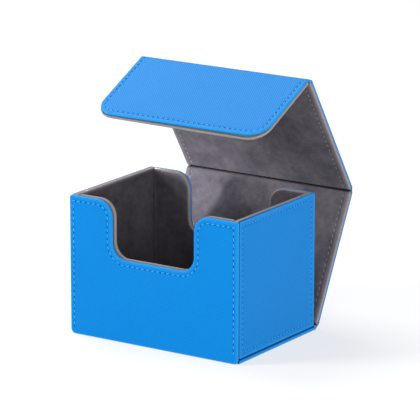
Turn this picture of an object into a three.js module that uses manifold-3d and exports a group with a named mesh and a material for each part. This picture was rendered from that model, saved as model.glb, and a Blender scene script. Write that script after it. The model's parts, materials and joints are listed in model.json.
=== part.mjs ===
import * as THREE from 'three';
import { mergeVertices } from 'three/addons/utils/BufferGeometryUtils.js';
import Module from 'manifold-3d';

// Card deck box: a lined tray standing on the base of a wrap-round cover.
// The cover's back, top and front flap are stiff panels joined by soft creases,
// and each crease folds along two lines, one at each of its edges.
// Millimetres, +Z up, +X to the right, +Y towards the back. The origin is on the
// surface that the box stands on, below the middle of its body.

// Driving dimensions of the body
const bodyWidth = 103;
const bodyDepth = 73.6;
const bodyHeight = 74;

// Sheet goods, and the glue line that separates one from the next
const leatherette = 0.6;
const suede = 0.6;
const glueLine = 0.2;

// Walls, measured through all their layers
const frontCoverThickness = 2;
const frontTrayThickness = 2.8;
const sideThickness = 3.5;
const rearThickness = 3.3;
const sideInset = 0.4;

// Boards stop short of the outline all round, so that their covering can turn over the edge
const edgeTurn = 0.5;

// Base of the cover, and the tray floor that stands on it
const baseThickness = 1.8;
const wallFoot = 2.2;
const floorBoardThickness = 1.8;

// Thumb notches in the front and rear walls
const frontNotch = { width: 50, depth: 30, lipRadius: 9, footRadius: 8 };
const rearNotch = { width: 50, depth: 32, lipRadius: 9, footRadius: 8 };
const frontFootRadius = 2.5;
const wallCornerRadius = 1.2;

// Lid panels: two sewn halves, each a board with its covering
const panelThickness = 3;
const panelBoard = 0.7;
const panelCovering = 0.5;

// Room between each wall and the panel that closes over it
const closingGap = { rear: 1.1, top: 0.4, front: 1.7 };

// Creases: strips of covering alone, with a fold line at each edge
const creaseWidth = 4;
const creaseSheet = 0.6;
const creaseSheetGap = 0.3;
const foldDepth = 0.65;
const foldGap = 0.5;
const creaseRun = creaseWidth * Math.SQRT1_2;

// Front flap of the lid
const flapReach = 48.3;
const flapCornerRadius = 10.5;

// Magnets that hold the flap to the front, set into pockets right through the boards
const magnetRadius = 4;
const magnetClearance = 0.25;
const magnetSpacing = 72;
const magnetDrop = 34;

// Turn of each fold, in degrees, with the box standing open
const openTurn = {
  baseFoldLower: 31.45,
  baseFoldUpper: 31.45,
  topFoldLower: 29.75,
  topFoldUpper: 29.75,
  flapFoldLower: 41.75,
  flapFoldUpper: 41.75,
};

const arcSegments = 6;
const faces = {
  left: -bodyWidth / 2,
  right: bodyWidth / 2,
  front: -bodyDepth / 2,
  rear: bodyDepth / 2,
};

const wasm = await Module();
wasm.setup();

// ---------- materials ----------

function blueLeatherette() {
  return new THREE.MeshStandardMaterial({ color: 0x1a8ae0, roughness: 0.55, metalness: 0 });
}

function greySuede() {
  return new THREE.MeshStandardMaterial({ color: 0x6d6870, roughness: 0.95, metalness: 0 });
}

function greyBoard() {
  return new THREE.MeshStandardMaterial({ color: 0x8f8a80, roughness: 0.9, metalness: 0 });
}

function nickelPlate() {
  return new THREE.MeshStandardMaterial({ color: 0xc9c9c6, roughness: 0.3, metalness: 1 });
}

// ---------- outlines ----------

// Rectangle with its own radius at each corner: foot left, foot right, head right, head left
function plateOutline(x0, y0, x1, y1, radii = [0, 0, 0, 0]) {
  const [footLeft, footRight, headRight, headLeft] = radii;
  const quarter = Math.PI / 2;
  const outline = new THREE.Shape();
  outline.moveTo(x0 + footLeft, y0);
  outline.lineTo(x1 - footRight, y0);
  if (footRight) outline.absarc(x1 - footRight, y0 + footRight, footRight, -quarter, 0);
  outline.lineTo(x1, y1 - headRight);
  if (headRight) outline.absarc(x1 - headRight, y1 - headRight, headRight, 0, quarter);
  outline.lineTo(x0 + headLeft, y1);
  if (headLeft) outline.absarc(x0 + headLeft, y1 - headLeft, headLeft, quarter, 2 * quarter);
  outline.lineTo(x0, y0 + footLeft);
  if (footLeft) outline.absarc(x0 + footLeft, y0 + footLeft, footLeft, 2 * quarter, 3 * quarter);
  return outline;
}

// Wall outline with a round-cornered notch in the middle of its top edge.
// An inset draws it that far inside itself, all round.
function notchedOutline(half, footHeight, head, footRadius, notch, inset = 0) {
  const quarter = Math.PI / 2;
  const x0 = -half + inset;
  const x1 = half - inset;
  const y0 = footHeight + inset;
  const y1 = head - inset;
  const side = notch.width / 2 + inset;
  const floor = head - notch.depth - inset;
  const lip = notch.lipRadius - inset;
  const foot = notch.footRadius + inset;
  const corner = wallCornerRadius;
  const outline = new THREE.Shape();
  outline.moveTo(x0 + footRadius, y0);
  outline.lineTo(x1 - footRadius, y0);
  if (footRadius) outline.absarc(x1 - footRadius, y0 + footRadius, footRadius, -quarter, 0);
  outline.lineTo(x1, y1 - corner);
  outline.absarc(x1 - corner, y1 - corner, corner, 0, quarter);
  outline.lineTo(side + lip, y1);
  outline.absarc(side + lip, y1 - lip, lip, quarter, 2 * quarter);
  outline.lineTo(side, floor + foot);
  outline.absarc(side - foot, floor + foot, foot, 0, -quarter, true);
  outline.lineTo(-side + foot, floor);
  outline.absarc(-side + foot, floor + foot, foot, -quarter, -2 * quarter, true);
  outline.lineTo(-side, y1 - lip);
  outline.absarc(-side - lip, y1 - lip, lip, 0, quarter);
  outline.lineTo(x0 + corner, y1);
  outline.absarc(x0 + corner, y1 - corner, corner, quarter, 2 * quarter);
  outline.lineTo(x0, y0 + footRadius);
  if (footRadius) outline.absarc(x0 + footRadius, y0 + footRadius, footRadius, 2 * quarter, 3 * quarter);
  return outline;
}

// ---------- solids ----------

// Plate lying in the XY plane, from z0 to z1
function flatPlate(outline, z0, z1) {
  const settings = { depth: z1 - z0, bevelEnabled: false, curveSegments: arcSegments };
  const plate = new THREE.ExtrudeGeometry(outline, settings);
  plate.translate(0, 0, z0);
  return plate;
}

// Plate standing in the XZ plane, from y0 to y1
function uprightPlate(outline, y0, y1) {
  const plate = flatPlate(outline, -y1, -y0);
  plate.rotateX(Math.PI / 2);
  return plate;
}

// Plate standing in the YZ plane, from x0 to x1; the outline's x runs along +Y
function sidePlate(outline, x0, x1) {
  const plate = flatPlate(outline, x0, x1);
  plate.rotateY(Math.PI / 2);
  plate.rotateX(Math.PI / 2);
  return plate;
}

function disc(radius, z0, z1) {
  const coin = new THREE.CylinderGeometry(radius, radius, z1 - z0, 24);
  coin.rotateX(Math.PI / 2);
  coin.translate(0, 0, (z0 + z1) / 2);
  return coin;
}

function toManifold(geometry) {
  const bare = geometry.clone();
  bare.deleteAttribute('normal');
  bare.deleteAttribute('uv');
  const merged = mergeVertices(bare, 1e-4);
  return new wasm.Manifold(new wasm.Mesh({
    numProp: 3,
    vertProperties: Float32Array.from(merged.attributes.position.array),
    triVerts: Uint32Array.from(merged.index.array),
  }));
}

function toGeometry(solid) {
  const cut = solid.getMesh();
  const geometry = new THREE.BufferGeometry();
  geometry.setAttribute('position', new THREE.BufferAttribute(cut.vertProperties, 3));
  geometry.setIndex(new THREE.BufferAttribute(cut.triVerts, 1));
  geometry.computeVertexNormals();
  return geometry;
}

function withPockets(board, pockets) {
  const cutters = pockets.map(toManifold);
  const bored = cutters.reduce((solid, cutter) => solid.subtract(cutter), toManifold(board));
  return toGeometry(bored);
}

function addPiece(group, name, geometry, material) {
  const mesh = new THREE.Mesh(geometry, material);
  mesh.name = name;
  group.add(mesh);
  return mesh;
}

// Distance from a wall's outer face to the plane of the fold lines in the panel closed over it
function closedReach(wall) {
  return closingGap[wall] + panelThickness - foldDepth;
}

// ---------- the case: front, base and tray ----------

const sides = [['left', -1], ['right', 1]];
const frontCoverBack = faces.front + frontCoverThickness;
const trayFront = frontCoverBack + glueLine;
const compartmentFront = trayFront + frontTrayThickness;
const compartmentRear = faces.rear - rearThickness;
const compartmentHalf = bodyWidth / 2 - sideInset - sideThickness;
const innerWallHalf = compartmentHalf - glueLine;

function magnetPockets(z0, z1, centreHeight) {
  return sides.map(([, sign]) => {
    const pocket = disc(magnetRadius + magnetClearance, z0 - 1, z1 + 1);
    pocket.translate(sign * magnetSpacing / 2, centreHeight, 0);
    return pocket;
  });
}

function frontWall() {
  const wall = new THREE.Group();
  const outerFace = faces.front + leatherette;
  const cover = notchedOutline(faces.right, 0, bodyHeight, frontFootRadius, frontNotch);
  addPiece(wall, 'front_cover_skin', uprightPlate(cover, faces.front, outerFace), blueLeatherette());

  const boardFront = outerFace + glueLine;
  const stiffener = notchedOutline(faces.right, glueLine, bodyHeight, frontFootRadius, frontNotch, edgeTurn);
  const magnetHeight = bodyHeight - magnetDrop;
  const board = flatPlate(stiffener, -frontCoverBack, -boardFront);
  const pocketed = withPockets(board, magnetPockets(-frontCoverBack, -boardFront, magnetHeight));
  pocketed.rotateX(Math.PI / 2);
  addPiece(wall, 'front_outer_board', pocketed, greyBoard());
  for (const [side, sign] of sides) {
    const magnet = disc(magnetRadius, -frontCoverBack, -boardFront);
    magnet.translate(sign * magnetSpacing / 2, magnetHeight, 0);
    magnet.rotateX(Math.PI / 2);
    addPiece(wall, `front_magnet_${side}`, magnet, nickelPlate());
  }

  const lining = notchedOutline(innerWallHalf, wallFoot, bodyHeight, 0, frontNotch);
  const inner = notchedOutline(innerWallHalf, wallFoot, bodyHeight, 0, frontNotch, edgeTurn);
  const liningFront = compartmentFront - suede;
  addPiece(wall, 'front_inner_board', uprightPlate(inner, trayFront, liningFront - glueLine), greyBoard());
  addPiece(wall, 'front_lining', uprightPlate(lining, liningFront, compartmentFront), greySuede());
  return wall;
}

function sideWall(side, sign) {
  const wall = new THREE.Group();
  const corners = [0, wallCornerRadius, wallCornerRadius, wallCornerRadius];
  const covering = plateOutline(trayFront, wallFoot, faces.rear, bodyHeight, corners);
  const board = plateOutline(trayFront + edgeTurn, wallFoot + edgeTurn, faces.rear - edgeTurn,
    bodyHeight - edgeTurn, corners);
  const outer = bodyWidth / 2 - sideInset;
  const inner = outer - sideThickness;
  const layers = [
    ['skin', covering, outer - leatherette, outer, blueLeatherette()],
    ['board', board, inner + suede + glueLine, outer - leatherette - glueLine, greyBoard()],
    ['lining', covering, inner, inner + suede, greySuede()],
  ];
  for (const [layer, outline, near, far, material] of layers) {
    const [x0, x1] = sign > 0 ? [near, far] : [-far, -near];
    addPiece(wall, `${side}_wall_${layer}`, sidePlate(outline, x0, x1), material);
  }
  return wall;
}

function rearWall() {
  const wall = new THREE.Group();
  const covering = notchedOutline(innerWallHalf, wallFoot, bodyHeight, 0, rearNotch);
  const board = notchedOutline(innerWallHalf, wallFoot, bodyHeight, 0, rearNotch, edgeTurn);
  const skinFront = faces.rear - leatherette;
  const liningBack = compartmentRear + suede;
  addPiece(wall, 'rear_wall_skin', uprightPlate(covering, skinFront, faces.rear), blueLeatherette());
  addPiece(wall, 'rear_wall_board',
    uprightPlate(board, liningBack + glueLine, skinFront - glueLine), greyBoard());
  addPiece(wall, 'rear_wall_lining', uprightPlate(covering, compartmentRear, liningBack), greySuede());
  return wall;
}

function base() {
  const group = new THREE.Group();
  const rearEdge = faces.rear + closedReach('rear') - creaseRun - foldGap;
  const skinFront = faces.front + leatherette + glueLine;
  const skin = plateOutline(faces.left, skinFront, faces.right, rearEdge);
  addPiece(group, 'base_cover_skin', flatPlate(skin, 0, leatherette), blueLeatherette());
  const board = plateOutline(faces.left + edgeTurn, trayFront, faces.right - edgeTurn, rearEdge);
  addPiece(group, 'base_board', flatPlate(board, leatherette + glueLine, baseThickness), greyBoard());
  return group;
}

function floor() {
  const group = new THREE.Group();
  const outline = plateOutline(-innerWallHalf, compartmentFront + glueLine, innerWallHalf,
    compartmentRear - glueLine);
  const boardTop = wallFoot + floorBoardThickness;
  addPiece(group, 'floor_board', flatPlate(outline, wallFoot, boardTop), greyBoard());
  addPiece(group, 'floor_lining', flatPlate(outline, boardTop + glueLine, boardTop + glueLine + suede),
    greySuede());
  return group;
}

// ---------- the lid: creases and panels, each in its own fold group ----------

// In a fold group, +Y runs along the sheet away from the fold line,
// and +Z points to the lined side. The fold line is the group's X axis.
function foldGroup(parent, distance, turn) {
  const group = new THREE.Group();
  group.position.set(0, distance, 0);
  group.rotation.x = THREE.MathUtils.degToRad(turn);
  parent.add(group);
  return group;
}

const outerSide = -foldDepth;
const innerSide = panelThickness - foldDepth;

function creaseStrip(group, name) {
  const strip = plateOutline(faces.left, foldGap, faces.right, creaseWidth - foldGap);
  const skinTop = outerSide + creaseSheet;
  const liningFoot = skinTop + creaseSheetGap;
  addPiece(group, `${name}_skin`, flatPlate(strip, outerSide, skinTop), blueLeatherette());
  addPiece(group, `${name}_lining`, flatPlate(strip, liningFoot, liningFoot + creaseSheet), greySuede());
}

function stiffPanel(group, name, length, headRadius, magnetDistance) {
  const head = [0, 0, headRadius, headRadius];
  const covering = plateOutline(faces.left, foldGap, faces.right, length, head);
  const boardRadius = Math.max(headRadius - edgeTurn, 0);
  const board = plateOutline(faces.left + edgeTurn, foldGap, faces.right - edgeTurn, length - edgeTurn,
    [0, 0, boardRadius, boardRadius]);
  const outerBoard = outerSide + panelCovering + glueLine;
  const innerBoard = innerSide - panelCovering - glueLine - panelBoard;
  const layers = [
    ['skin', covering, outerSide, outerSide + panelCovering, blueLeatherette()],
    ['outer_board', board, outerBoard, outerBoard + panelBoard, greyBoard()],
    ['inner_board', board, innerBoard, innerBoard + panelBoard, greyBoard()],
    ['lining', covering, innerSide - panelCovering, innerSide, greySuede()],
  ];
  for (const [layer, outline, z0, z1, material] of layers) {
    let plate = flatPlate(outline, z0, z1);
    if (magnetDistance && outline === board) {
      plate = withPockets(plate, magnetPockets(z0, z1, magnetDistance));
    }
    addPiece(group, `${name}_${layer}`, plate, material);
  }
  if (!magnetDistance) return;
  for (const [side, sign] of sides) {
    const magnet = disc(magnetRadius, outerBoard, innerBoard + panelBoard);
    magnet.translate(sign * magnetSpacing / 2, magnetDistance, 0);
    addPiece(group, `${name}_magnet_${side}`, magnet, nickelPlate());
  }
}

function lid() {
  const pastRear = closedReach('rear') - creaseRun;
  const pastTop = closedReach('top') - creaseRun;
  const pastFront = closedReach('front') - creaseRun;
  const backLength = bodyHeight + pastTop - (foldDepth + creaseRun);
  const topLength = pastRear + bodyDepth + pastFront;
  const magnetFromFold = magnetDrop + pastTop;

  const root = new THREE.Group();
  root.position.set(0, faces.rear + pastRear, foldDepth);

  const baseCrease = foldGroup(root, 0, openTurn.baseFoldLower);
  creaseStrip(baseCrease, 'base_crease');
  const back = foldGroup(baseCrease, creaseWidth, openTurn.baseFoldUpper);
  stiffPanel(back, 'back_panel', backLength - foldGap, 0);

  const topCrease = foldGroup(back, backLength, openTurn.topFoldLower);
  creaseStrip(topCrease, 'top_crease');
  const top = foldGroup(topCrease, creaseWidth, openTurn.topFoldUpper);
  stiffPanel(top, 'top_panel', topLength - foldGap, 0);

  const flapCrease = foldGroup(top, topLength, openTurn.flapFoldLower);
  creaseStrip(flapCrease, 'flap_crease');
  const flap = foldGroup(flapCrease, creaseWidth, openTurn.flapFoldUpper);
  stiffPanel(flap, 'flap', flapReach, flapCornerRadius, magnetFromFold);
  return root;
}

// ---------- the whole box ----------

const deckBox = new THREE.Group();
deckBox.name = 'card_deck_box';
deckBox.add(frontWall(), base(), rearWall(), floor());
for (const [side, sign] of sides) deckBox.add(sideWall(side, sign));
deckBox.add(lid());

export default deckBox;
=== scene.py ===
import json
import math
import random

import bpy
import bmesh
from mathutils import Vector
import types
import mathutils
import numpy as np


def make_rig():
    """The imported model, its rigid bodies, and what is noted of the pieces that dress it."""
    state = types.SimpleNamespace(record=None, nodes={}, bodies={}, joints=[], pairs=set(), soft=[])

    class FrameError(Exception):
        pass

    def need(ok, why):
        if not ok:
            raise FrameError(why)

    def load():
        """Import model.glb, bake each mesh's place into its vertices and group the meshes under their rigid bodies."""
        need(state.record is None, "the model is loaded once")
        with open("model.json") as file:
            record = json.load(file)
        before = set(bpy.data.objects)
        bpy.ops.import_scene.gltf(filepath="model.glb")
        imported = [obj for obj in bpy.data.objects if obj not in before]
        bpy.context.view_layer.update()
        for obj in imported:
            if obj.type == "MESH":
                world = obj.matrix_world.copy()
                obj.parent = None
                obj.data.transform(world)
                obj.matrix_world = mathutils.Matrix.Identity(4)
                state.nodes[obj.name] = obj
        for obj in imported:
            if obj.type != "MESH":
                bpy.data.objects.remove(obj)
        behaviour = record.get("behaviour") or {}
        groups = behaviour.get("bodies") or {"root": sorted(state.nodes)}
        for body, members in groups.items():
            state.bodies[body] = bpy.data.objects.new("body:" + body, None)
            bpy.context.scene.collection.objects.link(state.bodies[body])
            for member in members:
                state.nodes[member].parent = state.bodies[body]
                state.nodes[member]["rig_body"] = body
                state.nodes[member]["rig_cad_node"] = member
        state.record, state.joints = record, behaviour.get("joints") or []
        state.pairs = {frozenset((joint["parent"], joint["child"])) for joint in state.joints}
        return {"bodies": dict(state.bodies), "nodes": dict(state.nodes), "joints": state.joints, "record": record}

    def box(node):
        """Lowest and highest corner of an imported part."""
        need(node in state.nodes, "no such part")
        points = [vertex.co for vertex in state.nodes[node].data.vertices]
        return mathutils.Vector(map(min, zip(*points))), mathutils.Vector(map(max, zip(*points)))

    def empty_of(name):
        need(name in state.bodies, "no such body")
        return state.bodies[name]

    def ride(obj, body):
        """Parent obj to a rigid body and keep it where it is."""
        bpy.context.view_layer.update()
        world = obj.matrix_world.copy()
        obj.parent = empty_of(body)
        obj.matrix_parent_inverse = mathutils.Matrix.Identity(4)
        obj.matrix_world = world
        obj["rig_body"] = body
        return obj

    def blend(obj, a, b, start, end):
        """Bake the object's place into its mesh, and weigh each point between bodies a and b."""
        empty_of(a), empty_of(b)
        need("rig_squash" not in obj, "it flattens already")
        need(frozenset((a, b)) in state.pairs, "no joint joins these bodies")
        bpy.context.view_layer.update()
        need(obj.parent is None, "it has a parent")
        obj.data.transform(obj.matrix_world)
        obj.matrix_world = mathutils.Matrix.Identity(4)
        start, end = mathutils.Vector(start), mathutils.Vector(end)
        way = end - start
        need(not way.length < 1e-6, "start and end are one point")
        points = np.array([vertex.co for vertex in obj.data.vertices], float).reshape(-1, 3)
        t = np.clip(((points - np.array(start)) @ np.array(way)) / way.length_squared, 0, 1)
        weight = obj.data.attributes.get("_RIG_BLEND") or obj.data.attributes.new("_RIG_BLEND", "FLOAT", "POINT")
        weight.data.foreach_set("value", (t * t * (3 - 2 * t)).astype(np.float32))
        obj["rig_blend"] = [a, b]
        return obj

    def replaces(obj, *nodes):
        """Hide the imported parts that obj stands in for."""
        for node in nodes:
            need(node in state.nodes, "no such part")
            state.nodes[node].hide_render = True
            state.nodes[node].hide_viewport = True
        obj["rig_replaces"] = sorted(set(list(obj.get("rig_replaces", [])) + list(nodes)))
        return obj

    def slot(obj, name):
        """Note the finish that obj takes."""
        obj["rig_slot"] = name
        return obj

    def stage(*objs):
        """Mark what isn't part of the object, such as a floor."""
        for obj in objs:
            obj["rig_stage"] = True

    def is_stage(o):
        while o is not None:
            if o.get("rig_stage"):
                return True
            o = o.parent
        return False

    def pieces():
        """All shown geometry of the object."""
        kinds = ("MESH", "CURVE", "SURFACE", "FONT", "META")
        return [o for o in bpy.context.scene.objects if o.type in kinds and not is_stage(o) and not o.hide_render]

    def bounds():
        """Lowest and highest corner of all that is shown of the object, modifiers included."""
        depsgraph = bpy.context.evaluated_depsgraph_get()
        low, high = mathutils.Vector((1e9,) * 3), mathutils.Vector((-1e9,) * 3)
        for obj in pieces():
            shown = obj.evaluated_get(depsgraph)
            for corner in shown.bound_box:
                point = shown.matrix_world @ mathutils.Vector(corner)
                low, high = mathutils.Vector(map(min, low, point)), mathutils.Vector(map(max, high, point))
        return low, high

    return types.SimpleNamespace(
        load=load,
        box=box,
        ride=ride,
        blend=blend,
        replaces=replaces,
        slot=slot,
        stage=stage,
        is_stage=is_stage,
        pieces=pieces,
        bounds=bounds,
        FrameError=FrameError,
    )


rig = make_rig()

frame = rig.load()
cadBox = [list(corner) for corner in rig.bounds()]
mm = 0.001
quarter = math.pi / 2
dice = random.Random(7)

# the camera comes first: a long lens, a little above the box and round to its right
cameraSet = {"turn": 33.58, "lift": 14.64, "distance": 1702.6 * mm, "right": 8.86 * mm, "up": 63.04 * mm,
             "lens": 281.3, "sensor": 36}


def addCamera():
    turn, lift = math.radians(cameraSet["turn"]), math.radians(cameraSet["lift"])
    back = Vector((math.sin(turn) * math.cos(lift), -math.cos(turn) * math.cos(lift), math.sin(lift)))
    right = Vector((math.cos(turn), math.sin(turn), 0))
    up = back.cross(right)
    data = bpy.data.cameras.new("camera")
    data.lens = cameraSet["lens"]
    data.sensor_width = cameraSet["sensor"]
    data.clip_start, data.clip_end = 0.05, 20
    camera = bpy.data.objects.new("camera", data)
    bpy.context.scene.collection.objects.link(camera)
    camera.location = back * cameraSet["distance"] + right * cameraSet["right"] + up * cameraSet["up"]
    camera.rotation_euler = back.to_track_quat("Z", "Y").to_euler()
    bpy.context.scene.camera = camera


addCamera()
print("camera set")

# main faces of the box, read off the frame
frontLow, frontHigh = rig.box("front_cover_skin")
sideLow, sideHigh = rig.box("right_wall_skin")
body = {
    "half": frontHigh.x, "front": frontLow.y, "rear": sideHigh.y, "top": frontHigh.z,
    "trayFront": sideLow.y, "wallFoot": sideLow.z, "sideOuter": sideHigh.x,
    "sideInner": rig.box("right_wall_lining")[0].x,
    "innerHalf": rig.box("rear_wall_lining")[1].x,
    "frontInner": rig.box("front_lining")[1].y,
    "rearInner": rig.box("rear_wall_lining")[0].y,
    "boardFront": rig.box("front_inner_board")[0].y,
    "floorLow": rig.box("floor_lining")[0], "floorHigh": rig.box("floor_lining")[1],
    "baseRear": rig.box("base_cover_skin")[1].y,
}

# the lid's fold lines: each sheet runs from its fold at an angle above the floor, +Y being 0
folds = {joint["name"]: joint for joint in frame["joints"]}
foldOrder = [joint["name"] for joint in frame["joints"]]
foldDepth = folds[foldOrder[0]]["pos_m"][2]
creaseClearance = 0.5 * mm
slopes = {}
slopeSoFar = 0
for foldName in foldOrder:
    slopeSoFar -= math.radians(folds[foldName]["range_deg"][0])
    slopes[foldName] = slopeSoFar


def sheetFrame(foldName):
    # where a point at x, run along the sheet and depth below its blue face lies
    origin = Vector(folds[foldName]["pos_m"])
    slope = slopes[foldName]
    along = Vector((0, math.cos(slope), math.sin(slope)))
    inward = Vector((0, -math.sin(slope), math.cos(slope)))

    def place(x, run, depth):
        return origin + Vector((x, 0, 0)) + along * run + inward * (depth - foldDepth)
    place.along, place.inward, place.origin = along, inward, origin
    return place


def foldSpan(first, second):
    return (Vector(folds[second]["pos_m"]) - Vector(folds[first]["pos_m"])).length


def nodeReach(node, place):
    # how far a lid piece reaches along its sheet, and how deep its far face lies
    corners = [v.co - place.origin for v in frame["nodes"][node].data.vertices]
    return max(c.dot(place.along) for c in corners), max(c.dot(place.inward) for c in corners) + foldDepth


# ways to place a point, given how far across, how far up and how deep into the face it lies
def frontFace(a, b, depth):
    return Vector((a, body["front"] + depth, b))


def frontLiningFace(a, b, depth):
    return Vector((a, body["frontInner"] - depth, b))


def rearFace(a, b, depth):
    return Vector((a, body["rear"] - depth, b))


def rearLiningFace(a, b, depth):
    return Vector((a, body["rearInner"] + depth, b))


def baseFace(a, b, depth):
    return Vector((a, b, depth))


def floorFace(a, b, depth):
    return Vector((a, b, body["floorHigh"].z - depth))


def sideFace(sign):
    return lambda a, b, depth: Vector((sign * (body["sideOuter"] - depth), a, b))


def sideLiningFace(sign):
    return lambda a, b, depth: Vector((sign * (body["sideInner"] + depth), a, b))


# materials
clothMap = "cloth"
wearHighlightLayer = "wear"
# this attribute carries painted shade for seams and grooves
creviceShadeLayer = "crevice"


def addBump(nodes, links, shader, height, strength, distance):
    bump = addNode(nodes, "Bump", Strength=strength, Distance=distance)
    links.new(height, bump.inputs["Height"])
    links.new(bump.outputs["Normal"], shader.inputs["Normal"])


def startMaterial(name):
    material = bpy.data.materials.new(name)
    material.use_nodes = True
    nodes = material.node_tree.nodes
    shader = nodes["Principled BSDF"]
    return material, nodes, material.node_tree.links, shader


def addNode(nodes, kind, **values):
    node = nodes.new("ShaderNode" + kind)
    for key, value in values.items():
        if key in node.inputs:
            node.inputs[key].default_value = value
        else:
            setattr(node, key, value)
    return node


def clothCoordinates(nodes, links, turn=0.0):
    # the cloth map is in metres; this gives millimetres, turned by some degrees
    uv = addNode(nodes, "UVMap", uv_map=clothMap)
    mapping = addNode(nodes, "Mapping")
    mapping.inputs["Rotation"].default_value = (0, 0, math.radians(turn))
    mapping.inputs["Scale"].default_value = (1 / mm, 1 / mm, 1 / mm)
    links.new(uv.outputs["UV"], mapping.inputs["Vector"])
    return mapping.outputs["Vector"]


def mixColours(nodes, links, factor, first, second):
    mix = nodes.new("ShaderNodeMix")
    mix.data_type = "RGBA"
    for socket, value in ((mix.inputs[0], factor), (mix.inputs[6], first), (mix.inputs[7], second)):
        if isinstance(value, bpy.types.NodeSocket):
            links.new(value, socket)
        else:
            socket.default_value = value
    return mix.outputs[2]


def rampBetween(nodes, links, value, low, high, fromValue=0.0, toValue=1.0):
    ramp = addNode(nodes, "MapRange")
    ramp.inputs["From Min"].default_value = low
    ramp.inputs["From Max"].default_value = high
    ramp.inputs["To Min"].default_value = fromValue
    ramp.inputs["To Max"].default_value = toValue
    links.new(value, ramp.inputs["Value"])
    return ramp.outputs["Result"]


def addNumbers(nodes, links, first, second, weight):
    node = addNode(nodes, "Math", operation="MULTIPLY_ADD")
    links.new(second, node.inputs[0])
    node.inputs[1].default_value = weight
    links.new(first, node.inputs[2])
    return node.outputs[0]


# sizes of texture details are in millimetres
# the deep colour is painted shade for seams and grooves; the worn colour is edge wear with a painted highlight
leatherLook = {
    "ridge": (0.0012, 0.235, 0.63, 1), "valley": (0.0004, 0.13, 0.44, 1), "worn": (0.016, 0.275, 0.67, 1),
    "deep": (0.0004, 0.045, 0.2, 1), "mottle": (0.0006, 0.165, 0.52, 1), "mottleShare": 0.25,
    "hatchPitch": 1.0, "crossShare": 0.65, "grainShare": 0.7, "grainHeight": 0.06 * mm,
    "roughness": 0.48, "shine": 0.14, "shineTint": (0.3, 0.7, 1, 1),
}
waveScale = 0.314  # the scale at which a wave texture has one band a millimetre


def hatchBands(nodes, links, turn, pitch):
    # one set of parallel ridges, slightly wavy
    bands = addNode(nodes, "TexWave", Scale=waveScale / pitch, Distortion=1.5, Detail=2.0)
    bands.inputs["Detail Scale"].default_value = 1.6
    links.new(clothCoordinates(nodes, links, turn), bands.inputs["Vector"])
    return bands.outputs["Fac"]


def paintCreviceShade(nodes, links, shader, dye, deep):
    # painted shade: the colour is mixed towards the near-black deep colour where a covering tucks into a seam or
    # groove
    crevice = addNode(nodes, "Attribute", attribute_name=creviceShadeLayer)
    links.new(mixColours(nodes, links, crevice.outputs["Fac"], dye, deep), shader.inputs["Base Color"])


def blueLeather():
    look = leatherLook
    material, nodes, links, shader = startMaterial("blueLeatherette")
    # two sets of ridges pressed into the coating cross at right angles, one stronger than the other
    ridges = hatchBands(nodes, links, 45, look["hatchPitch"])
    cross = hatchBands(nodes, links, -45, look["hatchPitch"])
    grain = addNode(nodes, "TexNoise", Scale=1.7, Detail=3.0, Roughness=0.6)
    links.new(clothCoordinates(nodes, links), grain.inputs["Vector"])
    hatch = addNumbers(nodes, links, ridges, cross, look["crossShare"])
    height = addNumbers(nodes, links, hatch, grain.outputs["Fac"], look["grainShare"])
    # the ridges are coloured lighter than the valleys, and the dye is never quite even
    shade = rampBetween(nodes, links, height, 0.35, 1.9)
    cloud = addNode(nodes, "TexNoise", Scale=0.05, Detail=2.0, Roughness=0.5)
    links.new(clothCoordinates(nodes, links), cloud.inputs["Vector"])
    dye = mixColours(nodes, links, shade, look["valley"], look["ridge"])
    cloudShade = rampBetween(nodes, links, cloud.outputs["Fac"], 0.4, 0.7, 0.0, look["mottleShare"])
    dye = mixColours(nodes, links, cloudShade, dye, look["mottle"])
    # edge wear and a painted highlight: the coating is coloured lighter along the turned edges
    wear = addNode(nodes, "Attribute", attribute_name=wearHighlightLayer)
    rubAndHighlight = addNode(nodes, "Math", operation="MULTIPLY")
    rubHighlightNoise = rampBetween(nodes, links, grain.outputs["Fac"], 0.3, 0.65, 0.45, 1.0)
    links.new(wear.outputs["Fac"], rubAndHighlight.inputs[0])
    links.new(rubHighlightNoise, rubAndHighlight.inputs[1])
    dye = mixColours(nodes, links, rubAndHighlight.outputs[0], dye, look["worn"])
    paintCreviceShade(nodes, links, shader, dye, look["deep"])
    gloss = rampBetween(nodes, links, height, 0.4, 1.9, look["roughness"] + 0.08, look["roughness"] - 0.06)
    links.new(gloss, shader.inputs["Roughness"])
    shader.inputs["Specular IOR Level"].default_value = look["shine"]
    shader.inputs["Specular Tint"].default_value = look["shineTint"]
    addBump(nodes, links, shader, height, 0.5, look["grainHeight"])
    return material


# the deep colour is painted shade for seams and grooves; the edge colour is rubbed nap with a painted highlight; the
# tray tone darkens the tray's linings as painted shade
suedeLook = {
    "light": (0.14, 0.129, 0.15, 1), "dark": (0.044, 0.04, 0.051, 1), "edge": (0.33, 0.3, 0.312, 1),
    "deep": (0.008, 0.007, 0.009, 1), "matted": 0.62, "trayTone": 0.62, "cloudSize": 15.0, "tuftSize": 3.2,
    "fibreSize": 0.55, "tuftShare": 0.45, "fibreShare": 0.75, "fibreHeight": 0.1 * mm,
    "shine": 0.1, "sheen": 0.12, "sheenTint": (0.8, 0.78, 0.85, 1),
}


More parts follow.
